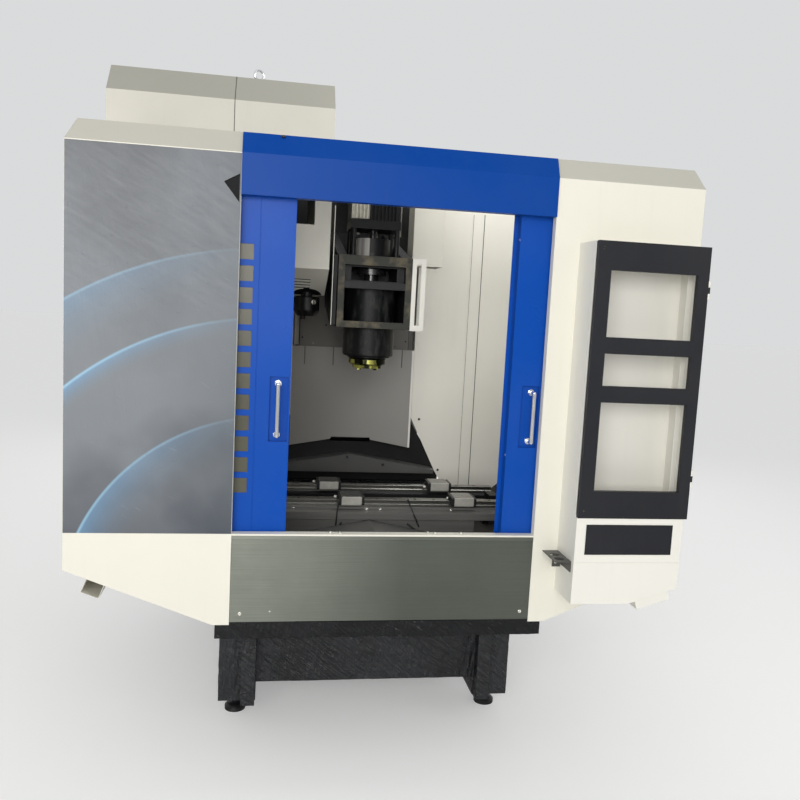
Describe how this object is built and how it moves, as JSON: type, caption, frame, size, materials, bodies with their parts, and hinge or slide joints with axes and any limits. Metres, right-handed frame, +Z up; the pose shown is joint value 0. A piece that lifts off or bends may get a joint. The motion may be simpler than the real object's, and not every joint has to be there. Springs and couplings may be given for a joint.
{
  "type": "cnc machining center",
  "caption": "Small vertical machining centre before its table is fitted: enclosure with open sliding doors, column, spindle head, saddle on linear rails, console and tool magazine.",
  "frame": {"origin": "on the floor, under the middle of the bounding box", "axes": "+X to the operator's right, +Y from the front panels to the back, +Z up"},
  "size_m": [2.1, 2.322, 2.5055],
  "materials": {
    "white_paint": "satin enamel",
    "blue_paint": "satin enamel",
    "black_paint": "fine textured enamel",
    "bed_casting": null,
    "machine_casting": "painted casting with machined seats",
    "grey_sheet": "satin enamel",
    "dark_sheet": "satin enamel",
    "stainless": "brushed lengthways",
    "guide_steel": "ground",
    "carriage_steel": "ground",
    "bright_steel": "polished",
    "rotor_steel": "ground, under a yellow work light",
    "motor_body": "cast and machined",
    "servo_body": "black enamel",
    "film": "printed film, plain here",
    "window": "clear",
    "disc_steel": "satin enamel",
    "feet": "black oxide"
  },
  "bodies": {
    "machine": {"bed_casting": "bed_casting", "levelling_feet": "feet", "linear_rails": "guide_steel", "axis_bearing_blocks": "machine_casting", "axis_servo_motors": "servo_body", "front_way_cover": "dark_sheet", "rear_way_cover": "dark_sheet", "column_casting": "machine_casting", "column_splash_plate": "grey_sheet", "enclosure_walls": "white_paint", "front_panel_left": "white_paint", "front_panel_right": "white_paint", "graphic_film": "film", "header_beam": "blue_paint", "door_guides": "guide_steel", "door_sill": "white_paint", "apron_panel": "stainless", "chip_pans": "dark_sheet", "console_box": "white_paint", "console_lower_box": "white_paint", "cable_plate": "black_paint", "air_gun_bracket": "dark_sheet", "magazine_housing": "white_paint", "changer_gearbox": "machine_casting", "eye_bolt": "bright_steel", "cable_duct": "white_paint", "cabinet_box": "white_paint"},
    "saddle": {"saddle_casting": "machine_casting", "y_carriages": "carriage_steel", "x_rails": "guide_steel", "x_bearing_blocks": "machine_casting", "x_servo_motor": "servo_body", "saddle_way_cover": "dark_sheet"},
    "middle_cover": {"middle_way_cover": "dark_sheet"},
    "y_screw": {"y_ball_screw": "bright_steel"},
    "x_screw": {"x_ball_screw": "bright_steel"},
    "x_nut": {"x_ball_nut": "guide_steel"},
    "carriage_front_left": {"x_carriage_front_left": "carriage_steel"},
    "carriage_front_right": {"x_carriage_front_right": "carriage_steel"},
    "carriage_rear_left": {"x_carriage_rear_left": "carriage_steel"},
    "carriage_rear_right": {"x_carriage_rear_right": "carriage_steel"},
    "head": {"spindle_head": "machine_casting", "z_carriages": "carriage_steel", "spindle_sleeve": "black_paint", "motor_stand": "black_paint", "spindle_motor": "motor_body", "head_side_brackets": "white_paint", "head_splash_plate": "dark_sheet"},
    "spindle": {"spindle_rotor": "rotor_steel"},
    "z_screw": {"z_ball_screw": "bright_steel"},
    "left_door": {"left_door_panel": "blue_paint", "left_door_window": "window", "left_door_handle": "bright_steel"},
    "right_door": {"right_door_panel": "blue_paint", "right_door_window": "window", "right_door_handle": "bright_steel"},
    "console_door": {"console_frame": "black_paint"},
    "rear_cabinet_door": {"cabinet_door": "white_paint"},
    "magazine": {"magazine_disc": "disc_steel"},
    "changer": {"changer_hub": "black_paint"}
  },
  "joints": [
    {"name": "left_door_slide", "type": "slide", "parent": "machine", "child": "left_door", "axis": [1, 0, 0], "range_m": [0, 0.342]},
    {"name": "right_door_slide", "type": "slide", "parent": "machine", "child": "right_door", "axis": [-1, 0, 0], "range_m": [0, 0.411]},
    {"name": "console_frame_hinge", "type": "hinge", "parent": "machine", "child": "console_door", "pos_m": [1.004, -1.155, 1.39], "axis": [0, 0, 1], "range_deg": [0, 110]},
    {"name": "cabinet_door_hinge", "type": "hinge", "parent": "machine", "child": "rear_cabinet_door", "pos_m": [0.453, 1.147, 1.375], "axis": [0, 0, -1], "range_deg": [0, 110]},
    {"name": "saddle_slide", "type": "slide", "parent": "machine", "child": "saddle", "axis": [0, 1, 0], "range_m": [-0.064, 0.336]},
    {"name": "middle_cover_slide", "type": "slide", "parent": "machine", "child": "middle_cover", "axis": [0, 1, 0], "range_m": [-0.033, 0.169]},
    {"name": "y_screw_turn", "type": "hinge", "parent": "machine", "child": "y_screw", "pos_m": [0, -0.27, 0.652], "axis": [0, 1, 0], "range_deg": [-7562, 1442]},
    {"name": "x_nut_slide", "type": "slide", "parent": "saddle", "child": "x_nut", "axis": [1, 0, 0], "range_m": [-0.06, 0.64]},
    {"name": "x_screw_turn", "type": "hinge", "parent": "saddle", "child": "x_screw", "pos_m": [0.012, -0.2775, 0.767], "axis": [1, 0, 0], "range_deg": [-14402, 1352]},
    {"name": "front_left_carriage_slide", "type": "slide", "parent": "saddle", "child": "carriage_front_left", "axis": [1, 0, 0], "range_m": [-0.46, 0.35]},
    {"name": "front_right_carriage_slide", "type": "slide", "parent": "saddle", "child": "carriage_front_right", "axis": [1, 0, 0], "range_m": [-0.35, 0.13]},
    {"name": "rear_left_carriage_slide", "type": "slide", "parent": "saddle", "child": "carriage_rear_left", "axis": [1, 0, 0], "range_m": [-0.38, 0.37]},
    {"name": "rear_right_carriage_slide", "type": "slide", "parent": "saddle", "child": "carriage_rear_right", "axis": [1, 0, 0], "range_m": [-0.37, 0.18]},
    {"name": "head_slide", "type": "slide", "parent": "machine", "child": "head", "axis": [0, 0, 1], "range_m": [-0.19, 0.21]},
    {"name": "z_screw_turn", "type": "hinge", "parent": "machine", "child": "z_screw", "pos_m": [0, 0.485, 1.7], "axis": [0, 0, 1], "range_deg": [-4727, 4277]},
    {"name": "spindle_turn", "type": "hinge", "parent": "head", "child": "spindle", "pos_m": [0, -0.192, 1.5], "axis": [0, 0, 1], "continuous": true},
    {"name": "magazine_turn", "type": "hinge", "parent": "machine", "child": "magazine", "pos_m": [-0.505, -0.095, 2.06], "axis": [1, 0, 0], "continuous": true},
    {"name": "changer_turn", "type": "hinge", "parent": "machine", "child": "changer", "pos_m": [-0.27, -0.192, 1.6], "axis": [0, 0, 1], "range_deg": [0, 180]}
  ],
  "couplings": [
    {"joint": "middle_cover_slide", "follows": "saddle_slide", "ratio": 0.5},
    {"joint": "y_screw_turn", "follows": "saddle_slide", "rad_per_m": -392.7},
    {"joint": "x_screw_turn", "follows": "x_nut_slide", "rad_per_m": -392.7},
    {"joint": "z_screw_turn", "follows": "head_slide", "rad_per_m": -392.7}
  ]
}
